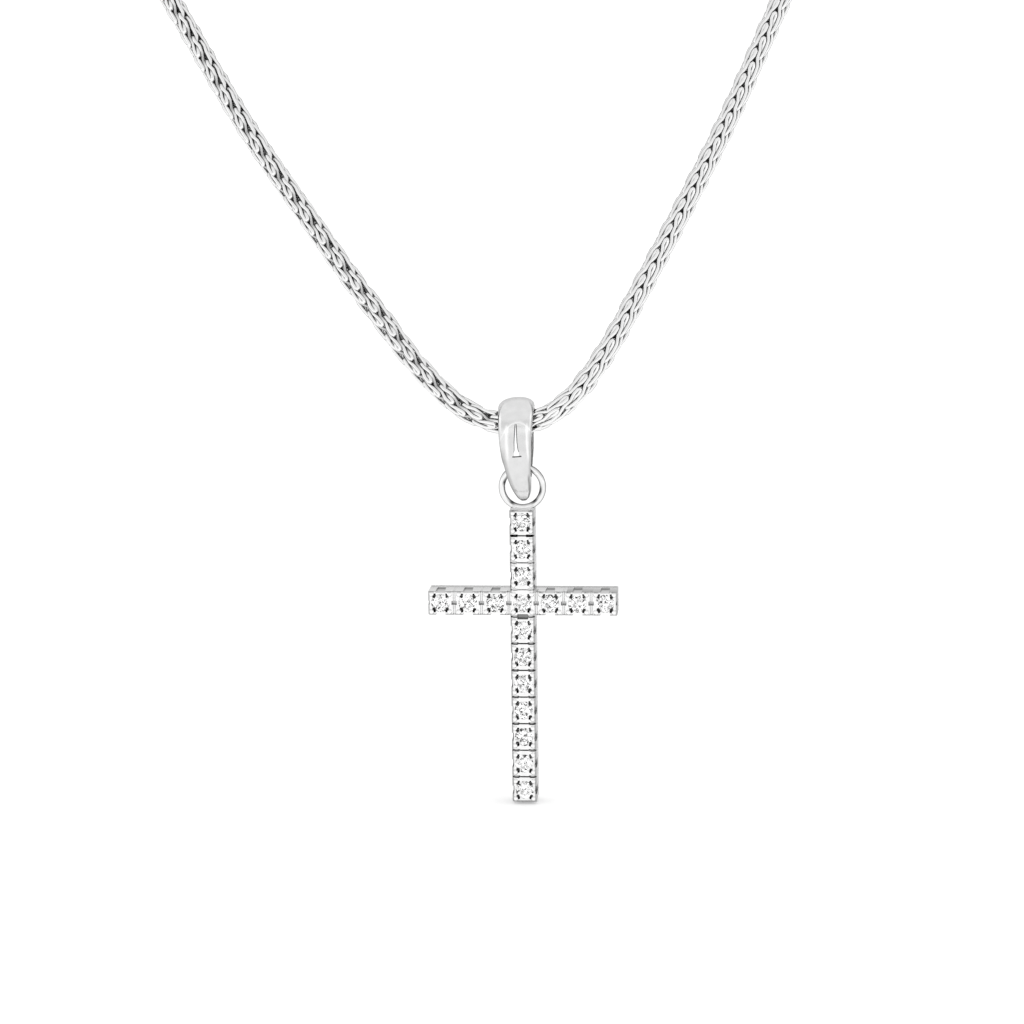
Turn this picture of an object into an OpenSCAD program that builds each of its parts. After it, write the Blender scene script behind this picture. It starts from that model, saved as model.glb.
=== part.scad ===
// A cross pendant of square collets set with round brilliants, hung by a folded bail on a wheat chain.
// Millimetres. +Z is up, the front faces -Y, and the origin is where the chain rests on the nape.

/* [Cross] */
// Distance from one stone to the next
stone_pitch = 1.5; // [1.4:0.05:2]
// Width of a square collet
collet_w = 1.35; // [1.25:0.05:1.4]
// Thickness of the cross, front to back
cross_t = 1.6; // [1.4:0.1:2.2]
// Stones above the crossing stone
stones_above = 3; // [1:1:4]
// Stones below the crossing stone
stones_below = 7; // [4:1:9]
// Stones on each side of the crossing stone
stones_aside = 3; // [2:1:5]
// Radius of the outer corners of the cross
corner_r = 0.12; // [0.05:0.01:0.2]
// Depth of the saw cut between two collets
groove_d = 0.3; // [0.1:0.05:0.5]
// Width of the gallery cut through each side of a collet
gallery_w = 0.54; // [0.4:0.02:0.6]
// Depth of the gallery cut, from the front
gallery_d = 0.8; // [0.6:0.05:1]
// Width of the saddle between one stone and the next
saddle_w = 0.4; // [0.3:0.02:0.5]
// Depth of the saddle, from the front
saddle_d = 0.35; // [0.2:0.05:0.5]
// Diameter of the light hole behind each stone
light_hole_d = 0.5; // [0.3:0.05:0.6]

/* [Stones] */
// Diameter of a brilliant at its girdle
stone_d = 1.05; // [0.9:0.01:1.1]
// How far the girdle lies behind the collet's front
girdle_depth = 0.08; // [0.04:0.01:0.15]
// Clearance between a stone and its seat
seat_gap = 0.02; // [0.01:0.005:0.04]

/* [Prongs] */
// Diameter of a prong
prong_d = 0.38; // [0.34:0.01:0.39]
// How far a prong reaches down into the collet, from the front
prong_root = 0.2; // [0.1:0.05:0.3]
// How far a prong stands in front of the collet
prong_rise = 0.13; // [0.08:0.01:0.18]
// Diameter of the small drilled recess between a prong and its stone
recess_d = 0.16; // [0.1:0.01:0.18]
// Depth of the drilled recess, from the front
recess_depth = 0.45; // [0.3:0.05:0.6]

/* [Ring] */
// Outer diameter of the jump ring on the cross
ring_d = 2.6; // [2.4:0.1:3]
// Thickness of the ring's wire
ring_wire_d = 0.36; // [0.3:0.02:0.4]
// How far the ring is let into the top of the cross
ring_sink = 0.17; // [0.1:0.01:0.25]

/* [Bail] */
// Height of the bail, from its tip to its crown
bail_h = 5.72; // [5.4:0.02:6.2]
// Width of the bail at its crown
bail_w = 1.84; // [1.5:0.02:2.2]
// Front to back size of the bail at its fullest
bail_depth = 2.74; // [2.5:0.02:3]
// Thickness of the crown over the chain
crown_t = 0.54; // [0.4:0.02:0.7]
// Clearance between the crown and the chain in it
crown_gap = 0.34; // [0.3:0.01:0.4]
// Front to back size of the hole through the bail
bail_hole_depth = 1.98; // [1.8:0.02:2.1]
// How far the hole reaches below the centre of the ring's wire
ring_room = 0.6; // [0.55:0.01:0.7]
// Length of the solid tip below the hole
tip_l = 1.28; // [1:0.02:1.3]
// Sideways lean of the bail on the ring, in degrees
bail_lean = 4.2; // [0:0.1:6]

/* [Chain] */
// Diameter of the chain
chain_d = 1.2; // [1:0.05:1.3]
// Clearance between the chain and the cup on its end
cup_gap = 0.08; // [0.05:0.01:0.15]
// Wall of the cup on each end of the chain
cup_wall = 0.25; // [0.2:0.05:0.4]
// Length of the cup
cup_l = 2.8; // [2.4:0.1:3.6]
// Depth of the cup's hole, from its mouth
cup_bore_l = 1.8; // [1.4:0.1:2.2]

/* [Clasp] */
// Radius of the eye on each cup, to the middle of its wire
eye_r = 0.8; // [0.7:0.05:1]
// Thickness of the eye's wire
eye_wire_d = 0.5; // [0.4:0.05:0.6]
// Thickness of the clasp's wire
clasp_wire_d = 0.6; // [0.5:0.05:0.7]
// Width of the clasp, to the middle of its wire
clasp_w = 2.6; // [2:0.1:3.4]

/* [Hidden] */
upright_stones = stones_above + 1 + stones_below;
crossbar_stones = 2 * stones_aside;
UPRIGHT = [for (i = [1:upright_stones]) str("stone_v", i)];
CROSSBAR = [for (i = [1:crossbar_stones]) str("stone_h", i)];
$fn = 32;
// How far a cutter reaches past the face that it cuts
past = 0.1;

// Points that the chain's centreline passes, from the left end at the nape, down to the bail and up
// to the right end.
chain_route = [
    [-7.5, 0, 0], [-15, 0, 0], [-28, -3, -1], [-43.5, -12, -4], [-54.5, -26, -9.5],
    [-58, -43, -17.5], [-55, -61, -28], [-48, -78, -40], [-38.5, -92.5, -53.5],
    [-27, -105, -68], [-14.5, -115.8, -84.6], [-9.5, -119.8, -91.9], [-6, -122.2, -96.4],
    [-3.5, -124, -99.5], [-1.5, -125.4, -101.8], [0, -126.3, -103.6], [1.2, -126.9, -104.8],
    [2.4, -127.5, -105.8], [3.6, -127.9, -106.5], [4.8, -128, -106.9], [6, -128, -107],
    [7, -128, -106.8], [8, -127.8, -106.3], [9, -127.3, -105.5], [10, -126.6, -104.3],
    [11, -125.8, -102.8], [12.4, -124.4, -100.3], [14.4, -122.4, -96.6], [17, -119.6, -91.6],
    [20.2, -115.8, -84.6], [29.5, -105, -68], [39.5, -92.5, -53.5], [48, -78, -40],
    [55, -61, -28], [58, -43, -17.5], [54.5, -26, -9.5], [43.5, -12, -4], [28, -3, -1],
    [15, 0, 0], [7.5, 0, 0]];
// Which of them lies inside the bail
seat_index = 20;
chain_sides = 8;
// Rings of the tube between two points of the route
rings_between = 2;

// Places that follow from the sizes

cross_front = -cross_t / 2;
row_top = stones_above * stone_pitch;
row_foot = -stones_below * stone_pitch;
cross_top = row_top + collet_w / 2;
cross_foot = row_foot - collet_w / 2;
arm_end = stones_aside * stone_pitch + collet_w / 2;
ring_centre = cross_top - ring_sink + ring_d / 2;
ring_r = (ring_d - ring_wire_d) / 2;
hook_height = ring_centre + ring_r;
bail_tip = -ring_room - tip_l;
bail_crown = bail_tip + bail_h;
hole_top = bail_crown - crown_t;
chain_seat = chain_route[seat_index];
seat_height = hole_top - crown_gap - chain_d / 2;
hook = chain_seat + seat_height * [sin(bail_lean), 0, -cos(bail_lean)];

function upright_place(i) = [0, (stones_above - i) * stone_pitch];
function crossbar_place(i) = [(i - stones_aside + (i < stones_aside ? 0 : 1)) * stone_pitch, 0];
upright_places = [for (i = [0:upright_stones - 1]) upright_place(i)];
crossbar_places = [for (i = [0:crossbar_stones - 1]) crossbar_place(i)];
all_places = concat(upright_places, crossbar_places);

// The brilliant's proportions, as shares of its diameter
table_share = 0.56;
crown_share = 0.155;
girdle_share = 0.03;
pavilion_share = 0.43;
star_reach = 0.52; // from the table's edge towards the girdle
lower_reach = 0.75; // from the girdle towards the culet

girdle_r = stone_d / 2;
girdle_half = girdle_share * stone_d / 2;
table_r = table_share * girdle_r;
star_r = table_r + star_reach * (girdle_r - table_r);
lower_r = (1 - lower_reach) * girdle_r;
// Half of the angle between two table corners
half_step = 22.5;
crown_h = crown_share * stone_d;
pavilion_h = pavilion_share * stone_d;
star_h = girdle_half + crown_h * (girdle_r - star_r * cos(half_step)) / (girdle_r - table_r);
table_h = girdle_half + crown_h;
lower_h = girdle_half + pavilion_h * (girdle_r - lower_r * cos(half_step)) / girdle_r;
culet_h = girdle_half + pavilion_h;
girdle_y = cross_front + girdle_depth;

function circle_points(n, r, z, turn) =
    [for (i = [0:n - 1]) [r * cos(turn + i * 360 / n), r * sin(turn + i * 360 / n), z]];

function brilliant_points() = concat(
    circle_points(8, table_r, table_h, 0),
    circle_points(8, star_r, star_h, half_step),
    circle_points(16, girdle_r, girdle_half, 0),
    circle_points(16, girdle_r, -girdle_half, 0),
    circle_points(8, lower_r, -lower_h, half_step),
    [[0, 0, -culet_h]]);

function brilliant_faces() =
    let (table = 0, star = 8, upper = 16, lower = 32, main = 48, culet = 56)
    concat(
        [[for (i = [7:-1:0]) table + i]],
        [for (i = [0:7]) let (j = (i + 1) % 8) [table + i, table + j, star + i]],
        [for (i = [0:7]) let (h = (i + 7) % 8)
            [table + i, star + i, upper + 2 * i, star + h]],
        [for (i = [0:7], k = [0, 1])
            [star + i, upper + (2 * i + k + 1) % 16, upper + 2 * i + k]],
        [for (i = [0:15]) let (j = (i + 1) % 16) [upper + i, upper + j, lower + j, lower + i]],
        [for (i = [0:7], k = [0, 1])
            [main + i, lower + 2 * i + k, lower + (2 * i + k + 1) % 16]],
        [for (i = [0:7]) let (h = (i + 7) % 8)
            [culet, main + h, lower + 2 * i, main + i]]);

// A stone in its place: the table faces the front
module brilliant(place) {
    color("aliceblue")
        at_cross() translate([place[0], girdle_y, place[1]]) rotate([90, 0, 0])
            polyhedron(points = brilliant_points(), faces = brilliant_faces(), convexity = 2);
}

// The cross hangs upright below the hook, and its origin is the crossing stone's place
module at_cross() {
    translate(hook - [0, 0, hook_height]) children();
}

// What a stone needs free in the metal, turned about the stone's axis
module stone_room(place) {
    translate([place[0], girdle_y, place[1]]) rotate([90, 0, 0])
        rotate_extrude()
            polygon([[0, -culet_h - seat_gap], [lower_r + seat_gap, -lower_h - seat_gap],
                [girdle_r + seat_gap, -girdle_half - seat_gap],
                [girdle_r + seat_gap, girdle_half + seat_gap],
                [star_r + seat_gap, star_h + seat_gap], [table_r + seat_gap, table_h + seat_gap],
                [0, table_h + seat_gap]]);
}

// The round well over a girdle, open to the front
module stone_well(place) {
    translate([place[0], girdle_y + girdle_half, place[1]]) rotate([90, 0, 0])
        cylinder(r = girdle_r + seat_gap, h = girdle_depth + girdle_half + past);
}

module light_hole(place) {
    translate([place[0], cross_t / 2 + past, place[1]]) rotate([90, 0, 0])
        cylinder(d = light_hole_d, h = cross_t / 2 + past - girdle_y - lower_h);
}

// A slot cut from the front, centred on a place: w across, l along Z
module front_slot(place, w, l, deep) {
    translate([place[0] - w / 2, cross_front - past, place[1] - l / 2])
        cube([w, deep + past, l]);
}

// The blank of one arm, with its outer corners rounded
module arm_blank(low, high) {
    translate([0, cross_t / 2, 0]) rotate([90, 0, 0]) linear_extrude(cross_t) union() {
        translate([low[0], low[1] + corner_r])
            square([high[0] - low[0], high[1] - low[1] - 2 * corner_r]);
        translate([low[0] + corner_r, low[1]])
            square([high[0] - low[0] - 2 * corner_r, high[1] - low[1]]);
        for (x = [low[0] + corner_r, high[0] - corner_r], z = [low[1] + corner_r, high[1] - corner_r])
            translate([x, z]) circle(r = corner_r);
    }
}

module cross_blank() {
    arm_blank([-collet_w / 2, cross_foot], [collet_w / 2, cross_top]);
    arm_blank([-arm_end, -collet_w / 2], [arm_end, collet_w / 2]);
}

// Gallery cuts through the sides, saddles along the rows and saw cuts between the collets
module collet_cuts() {
    saw_w = stone_pitch - collet_w;
    across = collet_w + 2 * past;
    for (p = upright_places) if (p != [0, 0]) front_slot(p, across, gallery_w, gallery_d);
    for (p = crossbar_places) front_slot(p, gallery_w, across, gallery_d);
    saddle_top = row_top + girdle_r;
    saddle_foot = cross_foot - past;
    front_slot([0, (saddle_top + saddle_foot) / 2], saddle_w, saddle_top - saddle_foot, saddle_d);
    front_slot([0, 0], 2 * arm_end + 2 * past, saddle_w, saddle_d);
    for (i = [0:upright_stones - 2])
        front_slot(upright_places[i] - [0, stone_pitch / 2], across, saw_w, groove_d);
    for (side = [-1, 1], k = [1:stones_aside])
        front_slot([side * (k - 0.5) * stone_pitch, 0], saw_w, across, groove_d);
}

// The prongs are round posts in the collet's corners, with domed tips
module prongs(place) {
    // The post's middle lies halfway from the gallery cut to the collet's corner
    out = (gallery_w / 2 + collet_w / 2) / 2;
    r = prong_d / 2;
    for (x = [-out, out], z = [-out, out])
        translate([place[0] + x, cross_front + prong_root, place[1] + z]) rotate([90, 0, 0])
            rotate_extrude()
                polygon([[0, 0], [r, 0], [r, prong_root], [0.84 * r, prong_root + 0.6 * prong_rise],
                    [0.5 * r, prong_root + prong_rise], [0, prong_root + prong_rise]]);
}

module recesses(place) {
    out = (girdle_r + recess_d / 5) * cos(45);
    for (x = [-out, out], z = [-out, out])
        translate([place[0] + x, cross_front + recess_depth, place[1] + z]) rotate([90, 0, 0])
            cylinder(d = recess_d, h = recess_depth + prong_rise + past, $fn = 16);
}

module jump_ring() {
    translate([0, 0, ring_centre]) rotate([90, 0, 0])
        rotate_extrude() translate([ring_r, 0]) circle(d = ring_wire_d);
}

module cross() {
    color("gainsboro") at_cross() difference() {
        union() {
            difference() {
                cross_blank();
                collet_cuts();
                for (p = all_places) stone_well(p);
            }
            for (p = all_places) prongs(p);
            jump_ring();
        }
        for (p = all_places) {
            stone_room(p);
            light_hole(p);
            recesses(p);
        }
    }
}

// The bail is a domed strip swept round its hole. Half of its width, as a share of the width at the
// crown, for each share of its height from the tip.
bail_widths = [[0, 0.13], [0.03, 0.3], [0.09, 0.45], [0.17, 0.58], [0.27, 0.69], [0.36, 0.78],
    [0.46, 0.86], [0.67, 0.95], [0.88, 0.99], [1, 1]];
bail_stations = 44;
dome_steps = 10;
// How pointed the outline is towards the tip, and how square the dome is at the tip and the crown
tip_taper = 0.7;
square_at_tip = 5;
square_at_crown = 2.2;

function half_width(z) = bail_w / 2 * lookup((z - bail_tip) / bail_h, bail_widths);

function hole_outline(t) =
    let (middle = (hole_top - ring_room) / 2, half = (hole_top + ring_room) / 2)
    [bail_hole_depth / 2 * sin(t), middle + half * cos(t)];

// The outer outline's fullest depth is bail_depth, wherever along it that falls
function taper(t) = sin(t) * pow(max(cos(t / 2), 0), tip_taper);
fullest = max([for (t = [1:179]) taper(t)]);
function outer_outline(t) =
    let (side = t > 180 ? -1 : 1, u = t > 180 ? 360 - t : t)
    [side * bail_depth / 2 * taper(u) / fullest,
        (bail_crown + bail_tip) / 2 + bail_h / 2 * cos(t)];

function squared(c, power) = sign(c) * pow(abs(c), 2 / power);

function bail_section(t) =
    let (inner = hole_outline(t), outer = outer_outline(t),
        power = square_at_crown + (square_at_tip - square_at_crown) * (1 - cos(t)) / 2)
    [for (k = [0:dome_steps])
        let (a = 180 * k / dome_steps, p = inner + squared(sin(a), power) * (outer - inner))
        [half_width(p[1]) * squared(cos(a), power), p[0], p[1]]];

module bail() {
    per = dome_steps + 1;
    points = [for (s = [0:bail_stations - 1]) each bail_section(360 * s / bail_stations)];
    faces = [for (s = [0:bail_stations - 1], k = [0:dome_steps])
        let (n = (s + 1) % bail_stations, j = (k + 1) % per,
            a = s * per + k, b = s * per + j, c = n * per + j, d = n * per + k)
        each [[a, b, c], [a, c, d]]];
    color("gainsboro") at_bail() polyhedron(points = points, faces = faces, convexity = 6);
}

// The bail leans sideways about the hook, and the chain's middle lies seat_height above it
module at_bail() {
    translate(hook) rotate([0, -bail_lean, 0]) children();
}

// The chain: a tube swept along a smooth curve through the route's points

function unit(v) = v / norm(v);
last = len(chain_route) - 1;
function reach(i) = norm(chain_route[i + 1] - chain_route[i]);
function way(i) = (chain_route[i + 1] - chain_route[i]) / reach(i);
function tangent(i) = i == 0 ? way(0) : i == last ? way(last - 1)
    : (way(i - 1) * reach(i) + way(i) * reach(i - 1)) / (reach(i - 1) + reach(i));

function curve_point(i, u) =
    (2 * pow(u, 3) - 3 * pow(u, 2) + 1) * chain_route[i]
    + (pow(u, 3) - 2 * pow(u, 2) + u) * reach(i) * tangent(i)
    + (3 * pow(u, 2) - 2 * pow(u, 3)) * chain_route[i + 1]
    + (pow(u, 3) - pow(u, 2)) * reach(i) * tangent(i + 1);

centreline = concat([for (i = [0:last - 1], k = [0:rings_between - 1]) curve_point(i, k / rings_between)],
    [chain_route[last]]);
rings = len(centreline);
// Across the plane that the loop lies in
loop_across = unit(cross([1, 0, 0], chain_seat));

function ring_points(i) =
    let (along = unit(centreline[min(i + 1, rings - 1)] - centreline[max(i - 1, 0)]),
        side = unit(cross(along, loop_across)), up = cross(side, along))
    [for (k = [0:chain_sides - 1]) let (a = (k + 0.5) * 360 / chain_sides)
        centreline[i] + chain_d / 2 * (cos(a) * side + sin(a) * up)];

module chain() {
    n = chain_sides;
    points = [for (i = [0:rings - 1]) each ring_points(i)];
    walls = [for (i = [0:rings - 2], k = [0:n - 1])
        let (a = i * n + k, b = i * n + (k + 1) % n, c = b + n, d = a + n)
        each [[a, b, c], [a, c, d]]];
    ends = [[for (k = [n - 1:-1:0]) k], [for (k = [0:n - 1]) (rings - 1) * n + k]];
    color("gainsboro") polyhedron(points = points, faces = concat(walls, ends), convexity = 10);
}

// The nape: a cup with an eye on each end of the chain, and the catch through both eyes

chain_end = chain_route[last][0];
cup_floor = chain_end - cup_gap;
cup_back = cup_floor + cup_bore_l - cup_l;
cup_r = chain_d / 2 + cup_gap + cup_wall;
eye_x = cup_back - eye_r;

module end_cap_right() {
    color("gainsboro") {
        difference() {
            translate([cup_back, 0, 0]) rotate([0, 90, 0]) cylinder(r = cup_r, h = cup_l);
            translate([cup_floor, 0, 0]) rotate([0, 90, 0])
                cylinder(r = chain_d / 2 + cup_gap, h = cup_bore_l + past);
        }
        translate([eye_x, 0, 0]) rotate([90, 0, 0])
            rotate_extrude() translate([eye_r, 0]) circle(d = eye_wire_d);
    }
}

module end_cap_left() {
    mirror([1, 0, 0]) end_cap_right();
}

module clasp() {
    turn = eye_x - clasp_w / 2;
    color("gainsboro") {
        for (side = [0, 180]) rotate([0, 0, side]) {
            translate([turn, 0, 0]) rotate([0, 0, -90])
                rotate_extrude(angle = 180) translate([clasp_w / 2, 0]) circle(d = clasp_wire_d);
            translate([-turn, clasp_w / 2, 0]) rotate([0, 90, 0])
                cylinder(d = clasp_wire_d, h = 2 * turn);
        }
    }
}

cross();
for (i = [0:upright_stones - 1])
    brilliant(upright_places[i]);
for (i = [0:crossbar_stones - 1])
    brilliant(crossbar_places[i]);
bail();
chain();
end_cap_left();
end_cap_right();
clasp();
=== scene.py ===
"""Cross pendant of square collets set with brilliants, on a wheat chain.

Metres, +Z up, and the front faces -Y. Shapes are worked out in millimetres and then scaled by MM.
"""
import math

import bmesh
import bpy
import numpy as np
from mathutils import Matrix, Vector

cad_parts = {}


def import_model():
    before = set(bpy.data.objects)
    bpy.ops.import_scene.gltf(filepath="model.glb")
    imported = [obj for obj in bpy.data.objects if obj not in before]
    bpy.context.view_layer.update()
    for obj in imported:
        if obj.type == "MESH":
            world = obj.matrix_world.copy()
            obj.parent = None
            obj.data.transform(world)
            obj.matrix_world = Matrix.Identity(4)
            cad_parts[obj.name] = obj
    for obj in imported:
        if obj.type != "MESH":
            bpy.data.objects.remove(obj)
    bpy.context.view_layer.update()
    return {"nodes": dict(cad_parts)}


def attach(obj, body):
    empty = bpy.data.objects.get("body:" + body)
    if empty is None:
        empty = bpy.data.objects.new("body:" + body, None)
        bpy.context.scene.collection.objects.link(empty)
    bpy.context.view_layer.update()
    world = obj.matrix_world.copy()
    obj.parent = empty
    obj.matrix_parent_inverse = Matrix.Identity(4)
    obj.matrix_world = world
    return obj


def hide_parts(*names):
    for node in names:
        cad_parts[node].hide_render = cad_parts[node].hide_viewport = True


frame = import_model()

MM = 0.001


# Camera

LOOK_AT = Vector((5.589, -128, -111.859)) * MM
DISTANCE = 200 * MM
AZIMUTH = math.radians(4.7)
ELEVATION = math.radians(10.3)
ROLL = math.radians(-0.67)
VIEW_W = 55.88 * MM  # width of the frame at the look-at point
SENSOR = 36


def camera():
    """The photograph's view: a little from the right and from above."""
    right = Vector((math.cos(AZIMUTH), math.sin(AZIMUTH), 0))
    ahead = Vector((-math.sin(AZIMUTH) * math.cos(ELEVATION),
                    math.cos(AZIMUTH) * math.cos(ELEVATION), -math.sin(ELEVATION)))
    turn = Matrix.Rotation(ROLL, 3, -ahead)
    right = turn @ right
    up = right.cross(ahead)
    data = bpy.data.cameras.new("camera")
    data.sensor_width = SENSOR
    data.lens = SENSOR * DISTANCE / VIEW_W
    data.clip_start = 10 * MM
    data.clip_end = 10
    made = bpy.data.objects.new("camera", data)
    bpy.context.scene.collection.objects.link(made)
    place = Matrix((right, up, -ahead)).transposed().to_4x4()
    place.translation = LOOK_AT - DISTANCE * ahead
    made.matrix_world = place
    bpy.context.scene.camera = made


camera()


# Shader maths

class Socket:
    """Wraps one output of a node, so that sums and products of values are written as Python."""

    def __init__(self, tree, out):
        self.tree = tree
        self.out = out

    def node(self, kind, settings=(), output=0, **inputs):
        """Adds a node: its settings come first, then the values or links of its inputs."""
        made = self.tree.nodes.new(kind)
        for name, value in dict(settings).items():
            setattr(made, name, value)
        for name, value in inputs.items():
            key = int(name[1:]) if name[0] == "i" and name[1:].isdigit() else name.replace("_", " ")
            fill(self.tree, made.inputs[key], value)
        return Socket(self.tree, made.outputs[output])

    def math(self, operation, other=0.0):
        """This value and another one put through a sum of the maths node."""
        return self.node("ShaderNodeMath", {"operation": operation}, i0=self, i1=other)

    def __add__(self, other):
        return self.math("ADD", other)

    def __mul__(self, other):
        return self.math("MULTIPLY", other)

    def __sub__(self, other):
        return self.math("SUBTRACT", other)

    def __rsub__(self, other):
        return (self * -1) + other

    def ramp(self, low, high):
        """0 below low, 1 above high, and smooth between."""
        return self.node("ShaderNodeMapRange", {"interpolation_type": "SMOOTHSTEP"},
                         Value=self, From_Min=low, From_Max=high)

    def blend(self, low, high):
        """The colour low where this value is 0, and the colour high where it is 1."""
        return self.node("ShaderNodeMix", {"data_type": "RGBA"}, 2, i0=self, i6=low, i7=high)

    def noise(self, scale, detail):
        """Soft noise over the place that this output holds."""
        return self.node("ShaderNodeTexNoise", Vector=self, Scale=scale, Detail=detail)

    def parts(self):
        """The x, y and z of a vector."""
        split = self.node("ShaderNodeSeparateXYZ", Vector=self).out.node
        return [Socket(self.tree, out) for out in split.outputs]


def fill(tree, socket, value):
    """Links a Socket to an input, or sets the input to a plain value."""
    if isinstance(value, Socket):
        tree.links.new(value.out, socket)
    else:
        socket.default_value = value


def coordinates(tree, kind):
    """The place of the shaded point."""
    return Socket(tree, tree.nodes.new("ShaderNodeTexCoord").outputs[kind])


def own_value(tree, name):
    """A value that each point of the mesh has of its own."""
    made = tree.nodes.new("ShaderNodeAttribute")
    made.attribute_name = name
    return Socket(tree, made.outputs["Fac"])


def grey(level):
    """A neutral colour."""
    return (level, level, level, 1)


def paint(name, **inputs):
    """A material, its Principled shader and the tree of its nodes."""
    made = bpy.data.materials.new(name)
    made.use_nodes = True
    shader = made.node_tree.nodes["Principled BSDF"]
    for key, value in inputs.items():
        shader.inputs[key.replace("_", " ")].default_value = value
    return made, shader, made.node_tree


# Stage and light

FLOOR_Z = -128.1 * MM
FLOOR_HALF = 6  # metres
FLOOR_GLOW = 0.25  # a light table's own light
LIGHT = 1.3
# Bands of the tent, in degrees up and over it: 0 in front, 90 overhead, 180 behind
BELOW_ENDS = (-4, 6)
OVERHEAD_STARTS = (9, 16)
BEHIND_STARTS = (118, 128)
BEHIND_ENDS = (155, 165)
BELOW_DIM, OVERHEAD_DIM, BEHIND_DIM = 0.2, 0.3, 0.08
BANDS_FADE = (0.08, 0.3)  # where the bands end to the left and right, as 1 less the square of x


def world():
    """A white tent of light, brightest in a low band in front and to the left and right."""
    made = bpy.data.worlds.new("studio")
    made.use_nodes = True
    tree = made.node_tree
    x, y, z = coordinates(tree, "Generated").parts()
    over = z.math("ARCTAN2", y * -1) * (180 / math.pi)
    below = 1 - over.ramp(*BELOW_ENDS)
    overhead = over.ramp(*OVERHEAD_STARTS)
    behind = over.ramp(*BEHIND_STARTS) * (1 - over.ramp(*BEHIND_ENDS))
    banded = (1 - x * x).ramp(*BANDS_FADE)
    level = 1 - (below * BELOW_DIM + overhead * OVERHEAD_DIM + behind * BEHIND_DIM) * banded
    fill(tree, tree.nodes["Background"].inputs["Strength"], level * LIGHT)
    fill(tree, tree.nodes["Background"].inputs["Color"], grey(1))
    bpy.context.scene.world = made


def floor():
    """A plain white floor just under the foot of the cross."""
    mesh = bpy.data.meshes.new("floor")
    shape = bmesh.new()
    bmesh.ops.create_grid(shape, x_segments=1, y_segments=1, size=FLOOR_HALF)
    shape.to_mesh(mesh)
    shape.free()
    mesh.transform(Matrix.Translation((0, 0, FLOOR_Z)))
    made = bpy.data.objects.new("floor", mesh)
    bpy.context.scene.collection.objects.link(made)
    white = paint("white_floor", Base_Color=grey(0.95), Roughness=0.6, Specular_IOR_Level=0,
                  Emission_Color=grey(1), Emission_Strength=FLOOR_GLOW)[0]
    mesh.materials.append(white)


world()
floor()

bpy.context.scene.view_settings.view_transform = "Standard"


# Metals. The rim of a metal is how bright it stays at a low angle.

POLISH_SCALE = 9000
POLISH_RANGE = (0.3, 0.8)


def polish(place, shader, roughness, more):
    """Gives a metal its roughness, and more of it along fine polishing marks."""
    marks = place.noise(POLISH_SCALE, 2).ramp(*POLISH_RANGE)
    fill(place.tree, shader.inputs["Roughness"], marks * more + roughness)


def polished_gold():
    """Polished white gold with faint clouds of tone."""
    made, shader, tree = paint("white_gold_polished", Metallic=1, Specular_Tint=grey(0.45))
    place = coordinates(tree, "Object")
    clouds = place.noise(900, 3).ramp(0.35, 0.7)
    fill(tree, shader.inputs["Base Color"], clouds.blend(grey(0.76), grey(0.79)))
    polish(place, shader, 0.06, 0.05)
    return made


# Painted shade: a wire is dark up to the first distance from the chain's middle, and bright from the
# second
WIRE_DEPTHS = (0.26, 0.42)
WIRE_TONES = (0.12, 0.89)


def wire_gold():
    """White gold wire: bright outside, with painted shade that grows dark inside the chain."""
    made, shader, tree = paint("white_gold_wire", Metallic=1, Specular_Tint=grey(0.2))
    bright = own_value(tree, "outwards").ramp(*WIRE_DEPTHS)
    fill(tree, shader.inputs["Base Color"], bright.blend(*map(grey, WIRE_TONES)))
    fill(tree, shader.inputs["Roughness"], 0.3 - bright * 0.2)
    return made


def toned_gold(name, roughness, rim):
    """White gold whose tone is given point by point: painted shade in the cuts and recesses, and painted
    highlights and shade elsewhere.
    """
    made, shader, tree = paint(name, Metallic=1, Specular_Tint=grey(rim))
    place = coordinates(tree, "Object")
    clouds = place.noise(2500, 3).ramp(0.3, 0.7)
    level = own_value(tree, "tone") * (clouds * 0.06 + 0.96)
    fill(tree, shader.inputs["Base Color"], level.blend(grey(0), grey(1)))
    polish(place, shader, roughness, 0.06)
    return made


POLISHED = polished_gold()
WIRE = wire_gold()
SET_GOLD = toned_gold("white_gold_set", 0.08, 0.72)
BAIL_GOLD = toned_gold("white_gold_bail", 0.16, 0.78)


# Cut stones

CROSSING = (6.1728, -128, -116.7787)  # the crossing stone's middle
STONE_PITCH = 1.5
STONE_PAINTED_GLOW = 0.2  # a painted glow for the light that a cut stone throws back
CROWN_Y = -128.73  # the stones' facets in front of this are the crown's
# A drop of painted shade beside a prong: its middle and half size, across and up from the stone's middle
DROP_AT = (0.345, 0.385)
DROP_SIZE = (0.09, 0.14)
DROP_VARIES = 0.6
DROP_EDGE = (0.95, 1.35)
# Painted dark reflections: along facet lines, on some facets and in slanting flecks
FACET_SCALE = 4800
FACET_LINES, LINES_DARK = (0, 0.07), 0.45
FACET_SHADES, SHADES_DARK = (0.6, 0.62), 0.25
FLECK_SCALE = 3600
FLECK_EDGE, FLECK_DARK = (0.61, 0.635), 0.98
FLECK_SLANT = 2.6


def corner_drops(place, x, z):
    """1 in the drops of painted shade at the four corners of each stone, no two of quite the same form.
    """
    spread = 0
    counts = []
    for value, middle, at, size in ((x, CROSSING[0], DROP_AT[0], DROP_SIZE[0]),
                                    (z, CROSSING[2], DROP_AT[1], DROP_SIZE[1])):
        count = (value - middle * MM) * (1 / (STONE_PITCH * MM))
        near = count.math("ROUND")
        aside = (count - near) * STONE_PITCH
        counts.append(near + aside.math("SIGN") * 0.25)
        off = (aside.math("ABSOLUTE") - at) * (1 / size)
        spread = off * off + spread
    corner = place.node("ShaderNodeCombineXYZ", X=counts[0], Z=counts[1])
    seed = place.node("ShaderNodeTexWhiteNoise", Vector=corner)
    return 1 - (spread + seed * DROP_VARIES).ramp(*DROP_EDGE)


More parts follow.
